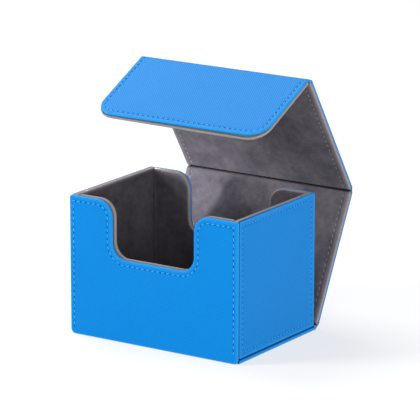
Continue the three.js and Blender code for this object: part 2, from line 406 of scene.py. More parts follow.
def greySuede(name, shadeFactor):
    # a factor below 1 darkens the whole colour: painted shade for the linings inside the tray, which are the same
    # suede as the lid's
    look = suedeLook
    material, nodes, links, shader = startMaterial(name)
    # brushed clouds, small tufts within them, and single fibres showing as fine speckle
    layers = []
    for size, detail in ((look["cloudSize"], 3.0), (look["tuftSize"], 2.0), (look["fibreSize"], 2.0)):
        layer = addNode(nodes, "TexNoise", Scale=1 / size, Detail=detail, Roughness=0.6)
        links.new(clothCoordinates(nodes, links), layer.inputs["Vector"])
        layers.append(layer.outputs["Fac"])
    clouds, tufts, fibres = layers
    nap = addNumbers(nodes, links, clouds, tufts, look["tuftShare"])
    nap = addNumbers(nodes, links, nap, fibres, look["fibreShare"])
    shade = rampBetween(nodes, links, nap, 0.75, 1.45)
    dark, light = [[c * shadeFactor for c in look[key][:3]] + [1] for key in ("dark", "light")]
    dye = mixColours(nodes, links, shade, dark, light)
    # the turned edges are paler, rubbed nap with a painted highlight, with some of their fibres matted dark
    wear = addNode(nodes, "Attribute", attribute_name=wearHighlightLayer)
    matted = [c * look["matted"] for c in look["edge"][:3]] + [1]
    rubbedAndHighlit = mixColours(nodes, links, rampBetween(nodes, links, fibres, 0.35, 0.65), look["edge"], matted)
    dye = mixColours(nodes, links, wear.outputs["Fac"], dye, rubbedAndHighlit)
    paintCreviceShade(nodes, links, shader, dye, look["deep"])
    links.new(rampBetween(nodes, links, fibres, 0.3, 0.7, 0.86, 1.0), shader.inputs["Roughness"])
    shader.inputs["Specular IOR Level"].default_value = look["shine"]
    shader.inputs["Sheen Weight"].default_value = look["sheen"]
    shader.inputs["Sheen Roughness"].default_value = 0.5
    shader.inputs["Sheen Tint"].default_value = look["sheenTint"]
    addBump(nodes, links, shader, fibres, 0.5, look["fibreHeight"])
    return material


def objectNoise(nodes, links, scale, detail=3.0):
    where = addNode(nodes, "TexCoord")
    noise = addNode(nodes, "TexNoise", Scale=scale, Detail=detail, Roughness=0.6)
    links.new(where.outputs["Object"], noise.inputs["Vector"])
    return noise.outputs["Fac"]


def threadMaterial(name, light, dark):
    material, nodes, links, shader = startMaterial(name)
    # twisted filament: fine streaks and a soft shine
    twist = rampBetween(nodes, links, objectNoise(nodes, links, 2600), 0.35, 0.65)
    links.new(mixColours(nodes, links, twist, dark, light), shader.inputs["Base Color"])
    links.new(rampBetween(nodes, links, twist, 0, 1, 0.5, 0.7), shader.inputs["Roughness"])
    addBump(nodes, links, shader, twist, 0.4, 0.05 * mm)
    return material


# painted shade: a needle hole is drawn as a short dark disc on the covering, coloured as the shade inside the hole
def holeShadeMaterial(name, light, dark):
    material, nodes, links, shader = startMaterial(name)
    depth = rampBetween(nodes, links, objectNoise(nodes, links, 1500), 0.3, 0.7)
    links.new(mixColours(nodes, links, depth, dark, light), shader.inputs["Base Color"])
    shader.inputs["Roughness"].default_value = 0.9
    shader.inputs["Specular IOR Level"].default_value = 0.02
    return material


def greyBoard():
    material, nodes, links, shader = startMaterial("greyboard")
    pulp = objectNoise(nodes, links, 700, 5.0)
    flecks = rampBetween(nodes, links, objectNoise(nodes, links, 2500, 2.0), 0.62, 0.7)
    sheetColour = mixColours(nodes, links, pulp, (0.24, 0.22, 0.19, 1), (0.38, 0.36, 0.32, 1))
    fleckColour = (0.12, 0.11, 0.1, 1)
    links.new(mixColours(nodes, links, flecks, sheetColour, fleckColour), shader.inputs["Base Color"])
    shader.inputs["Roughness"].default_value = 0.92
    addBump(nodes, links, shader, pulp, 0.4, 0.08 * mm)
    return material


def nickelPlate():
    material, nodes, links, shader = startMaterial("nickelPlate")
    scuff = objectNoise(nodes, links, 900, 4.0)
    links.new(mixColours(nodes, links, scuff, (0.6, 0.59, 0.56, 1), (0.74, 0.73, 0.7, 1)),
              shader.inputs["Base Color"])
    links.new(rampBetween(nodes, links, scuff, 0.3, 0.7, 0.22, 0.4), shader.inputs["Roughness"])
    shader.inputs["Metallic"].default_value = 1.0
    return material


blue = blueLeather()
suede = greySuede("greySuede", 1.0)
# painted shade: the tray's linings get a darker copy of the same suede
traySuede = greySuede("traySuede", suedeLook["trayTone"])
board = greyBoard()
nickel = nickelPlate()
blueThread = threadMaterial("blueThread", (0.1, 0.4, 0.78, 1), (0.035, 0.27, 0.62, 1))
dullThread = threadMaterial("dullThread", (0.07, 0.37, 0.76, 1), (0.03, 0.26, 0.62, 1))
greyThread = threadMaterial("greyThread", (0.36, 0.34, 0.36, 1), (0.2, 0.19, 0.2, 1))
blueHole = holeShadeMaterial("blueNeedleHole", (0.001, 0.075, 0.3, 1), (0.0005, 0.04, 0.19, 1))
dullHole = holeShadeMaterial("dullNeedleHole", (0.001, 0.15, 0.46, 1), (0.001, 0.12, 0.4, 1))
greyHole = holeShadeMaterial("greyNeedleHole", (0.085, 0.078, 0.09, 1), (0.055, 0.05, 0.06, 1))
print("materials made")


# outlines: every loop of one shape has the same number of points, whatever its inset
arcSteps = 7


def arcPoints(cx, cy, rx, ry, start, end):
    angles = [start + (end - start) * k / arcSteps for k in range(arcSteps + 1)]
    return [(cx + rx * math.cos(a), cy + ry * math.sin(a)) for a in angles]


def cornerPoints(x, y, inX, inY, radius, insetX, insetY, start):
    # round corner at x, y; inX and inY say which way the sheet lies from it
    cx = x + inX * max(radius, insetX)
    cy = y + inY * max(radius, insetY)
    return arcPoints(cx, cy, max(radius - insetX, 0), max(radius - insetY, 0), start, start + quarter)


def plateLoop(plate, inset):
    # rectangle with round corners; a side with a limit lets no inset past it
    x0, y0, x1, y1 = plate["rect"]
    footLeft, footRight, headRight, headLeft = plate["radii"]
    left, foot, right, head = [min(inset, limit) for limit in plate.get("limits", (1, 1, 1, 1))]
    return (cornerPoints(x0, y0, 1, 1, footLeft, left, foot, 2 * quarter)
            + cornerPoints(x1, y0, -1, 1, footRight, right, foot, 3 * quarter)
            + cornerPoints(x1, y1, -1, -1, headRight, right, head, 0)
            + cornerPoints(x0, y1, 1, -1, headLeft, left, head, quarter))


def notchLoop(wall, inset):
    # wall with a round-cornered notch in its top edge; its edges may take the inset unevenly
    half, foot, head = wall["half"], wall["foot"], wall["head"]
    footR, headR = wall["footRadius"], wall["headRadius"]
    side = inset * wall.get("sideShare", 1)
    notch = inset * wall.get("notchShare", 1)
    under = min(inset, wall.get("footLimit", 1))
    nHalf, lip, well = wall["notchHalf"], wall["lip"], wall["well"]
    floorHeight = head - wall["depth"]
    loop = cornerPoints(-half, foot, 1, 1, footR, side, under, 2 * quarter)
    loop += cornerPoints(half, foot, -1, 1, footR, side, under, 3 * quarter)
    loop += cornerPoints(half, head, -1, -1, headR, side, inset, 0)
    loop += arcPoints(nHalf + lip, head - lip, lip - notch, lip - inset, quarter, 2 * quarter)
    loop += arcPoints(nHalf - well, floorHeight + well, well + notch, well + notch, 0, -quarter)
    loop += arcPoints(-nHalf + well, floorHeight + well, well + notch, well + notch, -quarter, -2 * quarter)
    loop += arcPoints(-nHalf - lip, head - lip, lip - notch, lip - inset, 0, quarter)
    loop += cornerPoints(-half, head, 1, -1, headR, side, inset, quarter)
    return loop


smallestFace = 1e-11
sameSpot = 2e-6
sharpAngle = 42


def finishMesh(name, verts, uvs, faces, material, body_, wearHighlights=None, creviceShades=None):
    mesh = bpy.data.meshes.new(name)
    mesh.from_pydata(verts, [], faces)
    layer = mesh.uv_layers.new(name=clothMap)
    for loop in mesh.loops:
        layer.data[loop.index].uv = uvs[loop.vertex_index]
    for layerName, values in ((wearHighlightLayer, wearHighlights), (creviceShadeLayer, creviceShades)):
        if values:
            mesh.attributes.new(layerName, "FLOAT", "POINT").data.foreach_set("value", values)
    work = bmesh.new()
    work.from_mesh(mesh)
    flat = [face for face in work.faces if face.calc_area() < smallestFace]
    bmesh.ops.delete(work, geom=flat, context="FACES_ONLY")
    bmesh.ops.remove_doubles(work, verts=work.verts, dist=sameSpot)
    bmesh.ops.recalc_face_normals(work, faces=work.faces)
    work.to_mesh(mesh)
    work.free()
    mesh.shade_smooth()
    mesh.set_sharp_from_angle(angle=math.radians(sharpAngle))
    mesh.materials.append(material)
    piece = bpy.data.objects.new(name, mesh)
    bpy.context.scene.collection.objects.link(piece)
    if body_:
        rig.ride(piece, body_)
    return piece


def tubeFaces(start, rings, sides):
    # quads round a tube of equal rings, and a cap at each end
    faces = []
    for k in range(rings - 1):
        for s in range(sides):
            m = (s + 1) % sides
            faces.append((start + k * sides + s, start + k * sides + m,
                          start + (k + 1) * sides + m, start + (k + 1) * sides + s))
    faces.append([start + s for s in reversed(range(sides))])
    faces.append([start + (rings - 1) * sides + s for s in range(sides)])
    return faces


def tuckFade(ringsOut):
    # full painted shade inside the seam, a little on the first ring outside it
    return 1.0 if ringsOut < 0 else 0.3 if ringsOut == 0 else 0.0


def softShade(a, b):
    # how much painted shade an ordinary seam gets, at any point along it
    return 0.3


def turnedSheet(name, loopAt, place, outer, inner, material, body_, wearHighlightTo=1.4 * mm, uvShift=(0, 0),
                mirrored=False, tuckShade=softShade, darkRings=0):
    # a covering whose edge turns over: rings run from the rim to the middle, then back inside;
    # the rings tucked into the seam, and some more if wanted, get painted shade; the rim rings get edge wear with a
    # painted highlight
    lengths = [0]
    for (i0, d0), (i1, d1) in zip(outer, outer[1:]):
        lengths.append(lengths[-1] + math.hypot(i1 - i0, d1 - d0))
    middle = outer[-1][0]
    tucked = next(k for k, (inset, depth) in enumerate(outer) if inset == 0) + darkRings
    verts, uvs, wearHighlights, creviceShades = [], [], [], []
    rings = outer + inner
    for index, (inset, depth) in enumerate(rings):
        unrolled = middle - (lengths[-1] - lengths[index]) if index < len(outer) else inset
        for (a, b), (u, v) in zip(loopAt(inset), loopAt(unrolled)):
            verts.append(place(a, b, depth))
            uvs.append(((-u if mirrored else u) + uvShift[0], v + uvShift[1]))
            wearHighlights.append(max(0.0, 1 - inset / wearHighlightTo) if index < len(outer) else 0.0)
            creviceShades.append(tuckShade(a, b) * tuckFade(index - tucked))
    count = len(loopAt(0))
    faces = []
    for ring in range(len(rings)):
        if ring == len(outer) - 1:
            continue
        after = (ring + 1) % len(rings)
        for k in range(count):
            m = (k + 1) % count
            faces.append((ring * count + k, ring * count + m, after * count + m, after * count + k))
    faces.append([(len(outer) - 1) * count + k for k in range(count)])
    faces.append([len(outer) * count + k for k in reversed(range(count))])
    return finishMesh(name, verts, uvs, faces, material, body_, wearHighlights, creviceShades)


rollSteps = 5


def rolledEdge(depth, roll, groove=0.3 * mm):
    # from the seam at the given depth, up the edge and round on to the face
    rings = [(groove, depth), (groove * 0.3, depth - groove * 0.3), (0, depth - groove)]
    roll = min(roll, depth - groove)
    if depth - groove > roll:
        rings.append((0, roll))
    for k in range(1, rollSteps + 1):
        angle = quarter * k / rollSteps
        rings.append((roll * (1 - math.cos(angle)), roll * (1 - math.sin(angle))))
    return rings


def sewnChannel(inset, dip=0.16 * mm, half=0.75 * mm):
    # the seam pulls the covering down into a shallow channel
    return [(inset - half, 0), (inset - 0.3 * half, dip), (inset + 0.3 * half, dip), (inset + half, 0),
            (inset + half + 0.6 * mm, 0)]


def coveringRings(depth, roll, thickness, stitchInset=None, turnIn=0.42 * mm, groove=0.3 * mm):
    outer = rolledEdge(depth, roll, groove)
    outer += sewnChannel(stitchInset) if stitchInset else [(roll + 1.2 * mm, 0)]
    inner = [(outer[-1][0], thickness), (turnIn, thickness), (turnIn, depth)]
    return outer, inner


# sewing: one thread stitch after another, with a needle hole between them
def alongRun(points, pitch):
    # even steps along a run of (place, normal) pairs: centre, direction and normal of each
    steps = [(b[0] - a[0]).length for a, b in zip(points, points[1:])]
    total = sum(steps)
    count = max(1, round(total / pitch))
    found, edge, passed = [], 0, 0
    for k in range(count):
        target = total * (k + 0.5) / count
        while edge < len(steps) - 1 and passed + steps[edge] < target:
            passed += steps[edge]
            edge += 1
        share = (target - passed) / max(steps[edge], 1e-9)
        (p, n), (q, m) = points[edge], points[edge + 1]
        found.append((p.lerp(q, share), (q - p).normalized(), n.lerp(m, share).normalized()))
    return found, total / count


stitchLook = {"length": 0.52, "radius": 0.19 * mm, "rise": 0.12 * mm, "slant": 9, "holeRadius": 0.48 * mm,
              "pitch": 3.1 * mm, "wallPitch": 2.75 * mm, "liningPitch": 3.2 * mm,
              "wallScale": 0.75, "liningScale": 0.8, "baseScale": 0.7,
              "sides": 6, "rings": 5, "holeTop": 0.03 * mm, "holeFloor": -0.1 * mm}
stitchDip = 0.1 * mm


def stitchPlaces(runs, pitchWanted):
    # each stitch is a little uneven in slant and length, with a needle hole half a pitch on
    look = stitchLook
    threads, holes = [], []
    for run in runs:
        stitches, pitch = alongRun(run, pitchWanted)
        for centre, along, normal in stitches:
            across = normal.cross(along)
            lean = math.radians(look["slant"] + dice.uniform(-4, 4))
            along = along * math.cos(lean) + across * math.sin(lean)
            across = normal.cross(along)
            reach = pitch * look["length"] * dice.uniform(0.94, 1.04) / 2
            threads.append((centre, along, across, normal, reach))
            holes.append((centre + along * pitch * 0.5, along, across, normal))
    return threads, holes


def ovalRing(centre, first, second, firstRadius, secondRadius):
    sides = stitchLook["sides"]
    angles = [2 * math.pi * s / sides for s in range(sides)]
    return [centre + first * (firstRadius * math.cos(a)) + second * (secondRadius * math.sin(a))
            for a in angles]


def threadMesh(threads, scale):
    # each stitch bows up out of the covering and thins towards its ends
    look = stitchLook
    verts, faces = [], []
    for centre, along, across, normal, reach in threads:
        faces += tubeFaces(len(verts), look["rings"], look["sides"])
        for k in range(look["rings"]):
            t = 2 * k / (look["rings"] - 1) - 1
            radius = look["radius"] * scale * (1 - 0.55 * t ** 4)
            spine = centre + along * (reach * t) + normal * (look["rise"] * scale * (1 - 1.6 * t * t))
            verts += ovalRing(spine, across, normal, radius, 0.8 * radius)
    return verts, faces


# each needle hole is a short disc just above the covering, carrying the hole's painted shade
def holeMesh(holes, scale):
    look = stitchLook
    radius = look["holeRadius"] * scale
    verts, faces = [], []
    for centre, along, across, normal in holes:
        faces += tubeFaces(len(verts), 2, look["sides"])
        for lift in (look["holeTop"], look["holeFloor"]):
            verts += ovalRing(centre + normal * lift, along, across, 0.85 * radius, radius)
    return verts, faces


def sewRuns(name, runs, body_, thread, hole, scale=1.0, pitchWanted=stitchLook["pitch"]):
    threads, holes = stitchPlaces(runs, pitchWanted)
    for part, (verts, faces), material in (("Thread", threadMesh(threads, scale), thread),
                                           ("NeedleHoles", holeMesh(holes, scale), hole)):
        uvs = [(v.x, v.z) for v in verts]
        finishMesh(name + part, verts, uvs, faces, material, body_)


def onSheet(loop, place, depth):
    outward = place(0, 0, 0) - place(0, 0, 1)
    return [(place(a, b, depth), outward) for a, b in loop]


def openAtFoot(loop):
    # leaves the foot edge out of a loop that starts with its two foot corners
    return loop[2 * (arcSteps + 1) - 1:] + loop[:1]


suedeSheet = 0.6 * mm
layerGap = 0.05 * mm

# front wall: blue cover with its thumb notch, and the suede half behind it
frontCover = {"roll": 0.85 * mm, "stitch": 2.95 * mm, "skin": 0.6 * mm, "footRadius": 2.6 * mm,
              "headRadius": 1.3 * mm, "lip": 9 * mm, "well": 8 * mm, "notchHalf": 25 * mm, "depth": 30 * mm,
              "footRoll": 0.9 * mm, "groove": 1.15 * mm, "turnIn": 0.9 * mm, "seamFoot": 1.6 * mm,
              "sideShare": 0.82, "notchShare": 0.95, "shadeWidth": 3 * mm, "shadeTop": 1.5 * mm,
              "liningFoot": 0.3 * mm, "liningRoll": 0.8 * mm, "liningWear": 1 * mm}


def frontWallShape(half, foot, footRadius, footLimit=1):
    return {"half": half, "foot": foot, "head": body["top"], "footRadius": footRadius,
            "headRadius": frontCover["headRadius"], "notchHalf": frontCover["notchHalf"],
            "depth": frontCover["depth"], "lip": frontCover["lip"], "well": frontCover["well"],
            "sideShare": frontCover["sideShare"], "notchShare": frontCover["notchShare"],
            "footLimit": footLimit}


def seamShade(a, b):
    # painted shade: the front cover's tucked edge is painted darkest where it meets the side walls, lightly elsewhere
    beside = abs(a) > body["half"] - frontCover["shadeWidth"]
    return 1.0 if beside and b < body["top"] - frontCover["shadeTop"] else 0.15


def buildFrontWall():
    look = frontCover
    shape = frontWallShape(body["half"], 0, look["footRadius"], look["footRoll"])
    coverDepth = body["trayFront"] - body["front"] - 2 * layerGap
    outer, inner = coveringRings(coverDepth, look["roll"], look["skin"], look["stitch"], look["turnIn"],
                                 look["groove"])
    cover = turnedSheet("frontCoverLeather", lambda i: notchLoop(shape, i), frontFace, outer, inner,
                        blue, "case", tuckShade=seamShade)
    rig.replaces(cover, "front_cover_skin")
    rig.slot(cover, "blue_leatherette")
    seam = dict(shape, foot=look["seamFoot"], footLimit=0)
    run = onSheet(openAtFoot(notchLoop(seam, look["stitch"])), frontFace, stitchDip)
    sewRuns("frontCover", [run], "case", blueThread, blueHole)

    lined = frontWallShape(body["innerHalf"], body["wallFoot"], 0, look["liningFoot"])
    liningDepth = body["frontInner"] - body["boardFront"] + layerGap
    outer, inner = coveringRings(liningDepth, look["liningRoll"], suedeSheet)
    lining = turnedSheet("frontLiningSuede", lambda i: notchLoop(lined, i), frontLiningFace, outer, inner,
                         traySuede, "case", look["liningWear"])
    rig.replaces(lining, "front_lining")
    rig.slot(lining, "grey_suede")


buildFrontWall()
print("front wall made")

# side walls: a sewn blue panel outside, the suede turned over the top edge
sidePanel = {"roll": 0.55 * mm, "stitch": 3.2 * mm, "skin": 0.6 * mm, "radius": 1.2 * mm,
             "groove": 0.04 * mm, "turnIn": 0.2 * mm, "shadeWidth": 1.5 * mm, "darkRings": 5,
             "seamRadius": 4.4 * mm, "liningRoll": 0.9 * mm, "liningWear": 1.1 * mm}


def sideSeamShade(a, b):
    # painted shade: the front edge of a side panel, over its first rings, is painted dark as in the shadow of the
    # front cover; its other edges lightly
    return 1.0 if a < body["trayFront"] + sidePanel["shadeWidth"] else 0.2


def buildSideWall(side, sign):
    look = sidePanel
    plate = {"rect": (body["trayFront"], body["wallFoot"], body["rear"], body["top"]),
             "radii": [look["radius"]] * 4}
    outer = rolledEdge(look["skin"], look["roll"], look["groove"]) + sewnChannel(look["stitch"])
    inner = [(outer[-1][0], look["skin"]), (look["turnIn"], look["skin"])]
    panel = turnedSheet(side + "WallLeather", lambda i: plateLoop(plate, i), sideFace(sign), outer, inner,
                        blue, "case", mirrored=True, tuckShade=sideSeamShade,
                        darkRings=look["darkRings"])
    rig.replaces(panel, side + "_wall_skin")
    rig.slot(panel, "blue_leatherette")
    seam = plateLoop(dict(plate, radii=[look["seamRadius"]] * 4), look["stitch"])
    run = onSheet(seam + seam[:1], sideFace(sign), stitchDip)
    sewRuns(side + "Wall", [run], "case", dullThread, dullHole, stitchLook["wallScale"],
            stitchLook["wallPitch"])

    liningDepth = body["sideOuter"] - body["sideInner"] - look["skin"] - layerGap
    outer, inner = coveringRings(liningDepth, look["liningRoll"], suedeSheet)
    lining = turnedSheet(side + "LiningSuede", lambda i: plateLoop(plate, i), sideLiningFace(sign), outer,
                         inner, traySuede, "case", look["liningWear"])
    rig.replaces(lining, side + "_wall_lining")
    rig.slot(lining, "grey_suede")


for side, sign in (("left", -1), ("right", 1)):
    buildSideWall(side, sign)
print("side walls made")

# rear wall, with a deeper notch than the front
rearWall = {"roll": 0.6 * mm, "stitch": 3 * mm, "skin": 0.6 * mm, "edge": 1.3 * mm, "headRadius": 0.4 * mm,
            "lip": 9 * mm, "well": 8 * mm, "notchHalf": 25 * mm, "depth": 32 * mm,
            "liningRoll": 0.9 * mm, "liningWear": 1 * mm}


def buildRearWall():
    look = rearWall
    shape = {"half": body["innerHalf"], "foot": body["wallFoot"], "head": body["top"], "footRadius": 0,
             "headRadius": look["headRadius"], "notchHalf": look["notchHalf"], "depth": look["depth"],
             "lip": look["lip"], "well": look["well"]}
    outer, inner = coveringRings(look["edge"], look["roll"], look["skin"], look["stitch"])
    panel = turnedSheet("rearWallLeather", lambda i: notchLoop(shape, i), rearFace, outer, inner, blue,
                        "case")
    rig.replaces(panel, "rear_wall_skin")
    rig.slot(panel, "blue_leatherette")
    seam = notchLoop(shape, look["stitch"])
    run = onSheet(seam + seam[:1], rearFace, stitchDip)
    sewRuns("rearWall", [run], "case", dullThread, dullHole, stitchLook["wallScale"], stitchLook["wallPitch"])

    liningDepth = body["rear"] - body["rearInner"] - look["edge"] - layerGap
    outer, inner = coveringRings(liningDepth, look["liningRoll"], suedeSheet)
    lining = turnedSheet("rearLiningSuede", lambda i: notchLoop(shape, i), rearLiningFace, outer, inner,
                         traySuede, "case", look["liningWear"])
    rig.replaces(lining, "rear_wall_lining")
    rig.slot(lining, "grey_suede")


buildRearWall()
print("rear wall made")

# base of the cover, and the tray floor
basePanel = {"roll": 0.6 * mm, "stitch": 2.4 * mm, "skin": 0.5 * mm, "turnOver": 3 * mm,
             "groove": 0.5 * mm, "hem": 0.12 * mm, "hemInset": 0.6 * mm, "seamGap": 1 * mm,
             "seamDip": 0.16 * mm, "shadowGap": 0.15 * mm}
floorLining = {"radius": 0.5 * mm, "roll": 0.4 * mm, "groove": 0.1 * mm, "rim": 4 * mm, "turnIn": 0.3 * mm,
               "wear": 0.6 * mm}


def baseSeamShade(a, b):
    # painted shade: the groove between the base and the walls is painted dark all round
    return 0.9


def buildBase():
    look = basePanel
    front = body["trayFront"]
    plate = {"rect": (-body["half"], front, body["half"], body["baseRear"]),
             "radii": [0, 0, 0, 0], "limits": (1, 0, 1, 0)}
    thickness = body["wallFoot"] - look["shadowGap"]
    outer, inner = coveringRings(thickness, look["roll"], look["skin"], look["stitch"], groove=look["groove"])
    outer = [(look["turnOver"], thickness)] + outer
    inner += [(look["hemInset"], thickness - look["hem"]), (look["turnOver"], thickness - look["hem"])]
    base = turnedSheet("baseLeather", lambda i: plateLoop(plate, i), baseFace, outer, inner, blue, "case",
                       tuckShade=baseSeamShade)
    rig.replaces(base, "base_cover_skin")
    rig.slot(base, "blue_leatherette")
    runs = []
    for x in (-body["half"] + look["stitch"], body["half"] - look["stitch"]):
        ends = [(x, front + look["seamGap"]), (x, body["baseRear"] - look["seamGap"])]
        runs.append(onSheet(ends, baseFace, look["seamDip"]))
    sewRuns("base", runs, "case", blueThread, blueHole, stitchLook["baseScale"])


def buildFloor():
    look = floorLining
    low, high = body["floorLow"], body["floorHigh"]
    plate = {"rect": (low.x, low.y, high.x, high.y), "radii": [look["radius"]] * 4}
    depth = high.z - low.z
    outer = rolledEdge(depth, look["roll"], look["groove"]) + [(look["rim"], 0)]
    inner = [(look["rim"], depth), (look["turnIn"], depth)]
    lining = turnedSheet("floorLiningSuede", lambda i: plateLoop(plate, i), floorFace, outer, inner,
                         traySuede, "case", look["wear"])
    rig.replaces(lining, "floor_lining")
    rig.slot(lining, "grey_suede")


buildBase()
buildFloor()
print("base and floor made")

# lid panels: a blue half and a suede half, sewn together along their long edges
lidPanel = {"roll": 0.65 * mm, "stitch": 2.7 * mm, "skin": 0.45 * mm, "blueShare": 0.43,
            "groove": 0.3 * mm, "liningRoll": 0.6 * mm, "liningStitch": 3.7 * mm, "liningWear": 1.3 * mm,
            "liningGap": 0.04 * mm, "cornerRadius": 10.5 * mm, "tipOverhang": 0.95 * mm,
            "tipGroove": 0.08 * mm, "askew": 0.5 * mm}


def panelSides(plate, inset, first, last):
    x0, _, x1, _ = plate["rect"]
    return [[(x0 + inset, first), (x0 + inset, last)], [(x1 - inset, first), (x1 - inset, last)]]


def buildLidPanel(name, bodyName, foldName, wrapRun, free=False):
    # a free panel is the flap: its far end has no fold, and its corners are round
    look = lidPanel
    place = sheetFrame(foldName)
    reach, thickness = nodeReach(bodyName + "_lining", place)
    radius = look["cornerRadius"] if free else 0
    plate = {"rect": (-body["half"], creaseClearance, body["half"], reach),
             "radii": [0, 0, radius, radius], "limits": (1, 0, 1, 1 if free else 0)}
    blueDepth = thickness * look["blueShare"]
    outer, inner = coveringRings(blueDepth, look["roll"], look["skin"], look["stitch"])
    skin = turnedSheet(name + "Leather", lambda i: plateLoop(plate, i), place, outer, inner, blue, bodyName,
                       uvShift=(0, wrapRun))
    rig.replaces(skin, bodyName + "_skin")
    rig.slot(skin, "blue_leatherette")

    # the flap's lining is drawn a little askew, to make its lip wider at the right
    askew = look["askew"] / body["half"] if free else 0

    def linedPlace(a, b, depth):
        return place(a, b + a * askew * b / reach, thickness - depth)
    liningDepth = thickness - blueDepth - look["liningGap"]
    linedTip = reach + (look["tipOverhang"] if free else 0)
    lined = dict(plate, rect=(-body["half"], creaseClearance, body["half"], linedTip))
    outer, inner = coveringRings(liningDepth, look["liningRoll"], look["skin"], look["liningStitch"],
                                 groove=look["tipGroove"] if free else look["groove"])
    lining = turnedSheet(name + "LiningSuede", lambda i: plateLoop(lined, i), linedPlace, outer, inner,
                         suede, bodyName, look["liningWear"], (0, wrapRun))
    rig.replaces(lining, bodyName + "_lining")
    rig.slot(lining, "grey_suede")

    if free:
        seam = plateLoop(dict(plate, limits=(1, 0, 1, 1)), look["stitch"])
        runs = [onSheet(openAtFoot(seam), place, stitchDip)]
        liningSeam = plateLoop(dict(plate, limits=(1, 0, 1, 1)), look["liningStitch"])
        liningRuns = [onSheet(openAtFoot(liningSeam), linedPlace, stitchDip)]
    else:
        ends = (creaseClearance, reach)
        runs = [onSheet(line, place, stitchDip) for line in panelSides(plate, look["stitch"], *ends)]
        liningRuns = [onSheet(line, linedPlace, stitchDip)
                      for line in panelSides(plate, look["liningStitch"], *ends)]
    sewRuns(name, runs, bodyName, blueThread, blueHole)
    sewRuns(name + "Lining", liningRuns, bodyName, greyThread, greyHole, stitchLook["liningScale"],
            stitchLook["liningPitch"])
    return place, reach, thickness


# creases: the two coverings alone, each split in the middle so that each half bends over one fold
crease = {"sheet": 0.55 * mm, "roll": 0.5 * mm, "steps": 9, "fullness": 0.42, "valley": 0.85 * mm,
          "mouthHalf": 0.62 * mm, "mouthDepth": 2.35 * mm, "mouthPull": 0.8 * mm, "cavity": 1.0 * mm,
          "cheek": 0.6 * mm, "cheekRoom": 0.1 * mm, "wornEnd": 1.5 * mm, "rollSteps": 4, "lipPull": 0.5,
          "mouthTurn": 0.7, "shadeFrom": 5, "shadeSteps": 2, "seamHalf": 1.3 * mm}


def bezier(p0, p1, p2, p3, t):
    s = 1 - t
    return p0 * s ** 3 + p1 * 3 * s * s * t + p2 * 3 * s * t * t + p3 * t ** 3


def sweptSheet(name, path, intoSheet, material, wrapRun, half, cheeks, pathShade=None):
    # a strip across the whole width that follows a path; its ends roll over and turn in as cheeks
    # and get edge wear with a painted highlight; the last argument says how much painted shade each step of the path
    # gets
    sheet, roll = crease["sheet"], crease["roll"]
    turns = [quarter * k / crease["rollSteps"] for k in range(crease["rollSteps"] + 1)]
    arc = [(half - roll * (1 - math.cos(a)), roll * (1 - math.sin(a))) for a in turns]
    arc.append((half - crease["wornEnd"], 0))
    verts, uvs, wearHighlights, creviceShades = [], [], [], []
    run = wrapRun
    for k, point in enumerate(path):
        before, after = path[max(k - 1, 0)], path[min(k + 1, len(path) - 1)]
        tangent = (after - before).normalized()
        inward = Vector((0, -tangent.z, tangent.y)) * intoSheet
        if k:
            run += (point - path[k - 1]).length
        deep = cheeks[k]
        right = [(half - crease["cheek"], sheet), (half - crease["cheek"], deep), (half, deep)] + arc
        section = [(-x, d) for x, d in right] + list(reversed(right))
        for x, depth in section:
            verts.append(point + Vector((x, 0, 0)) + inward * depth)
            uvs.append((x + math.copysign(depth, x), run))
            wearHighlights.append(max(0.0, 1 - (half - abs(x)) / crease["wornEnd"]) if depth < sheet else 0.0)
            creviceShades.append(pathShade[k] if pathShade and abs(x) < half - crease["wornEnd"] * 0.9 else 0.0)
    faces = tubeFaces(0, len(path), len(section))
    return finishMesh(name, verts, uvs, faces, material, None, wearHighlights, creviceShades)


def curvedPath(start, startPull, end, endPull):
    steps = crease["steps"]
    return [bezier(start, start + startPull, end + endPull, end, k / (steps - 1)) for k in range(steps)]


def creaseSkins(name, lower, strip, upper, middle, thickness, runs):
    upperEnd = upper(0, creaseClearance, 0)
    pull = crease["fullness"] * (middle - lower["end"]).length
    lowerPath = curvedPath(lower["end"], lower["way"] * pull, middle, strip.along * -pull)
    upperPath = curvedPath(middle, strip.along * pull, upperEnd, upper.along * -pull)
    cheek = thickness * lidPanel["blueShare"] - crease["cheekRoom"]
    return [sweptSheet(name + "Leather" + half, path, 1, blue, run, body["half"], [cheek] * len(path))
            for half, path, run in (("Lower", lowerPath, runs[0]), ("Upper", upperPath, runs[1]))]


def creaseLinings(name, lower, strip, upper, stripMiddle, thickness, runs):
    # the two lips of the lining lean together over one deep, narrow-mouthed groove
    valley = strip(0, stripMiddle, crease["valley"])
    mouthDepth = crease["mouthDepth"] - (thickness - lower["thickness"]) / 2
    lipCheek = thickness * (1 - lidPanel["blueShare"]) + crease["cheekRoom"]
    lowerLip = lower["end"] + lower["inward"] * lower["thickness"]
    upperLip = upper(0, creaseClearance, thickness)
    made = []
    for half, lip, way, sign, run in (("Lower", lowerLip, lower["way"], 1, runs[0]),
                                      ("Upper", upperLip, upper.along * -1, -1, runs[1])):
        mouth = strip(0, stripMiddle - crease["mouthHalf"] * sign, mouthDepth)
        bend = (mouth - lip).length * crease["lipPull"]
        path = curvedPath(lip, way * bend, mouth, strip.inward * (bend * crease["mouthTurn"]))
        path += curvedPath(mouth, strip.inward * -crease["mouthPull"], valley,
                           strip.along * (-crease["cavity"] * sign))[1:]
        steps = range(len(path))
        # painted shade, growing from the mouth of the groove to near black inside it
        pathShade = [min(1.0, max(0.0, (k - crease["shadeFrom"]) / crease["shadeSteps"])) for k in steps]
        lipShare = [max(0.0, 1 - k / (crease["steps"] - 1)) for k in steps]
        deep = [crease["sheet"] + (lipCheek - crease["sheet"]) * share for share in lipShare]
        if sign < 0:
            for values in (path, pathShade, deep):
                values.reverse()
        made.append(sweptSheet(name + "Suede" + half, path, -1, suede, run, body["half"] - layerGap,
                               deep, pathShade))
    return made


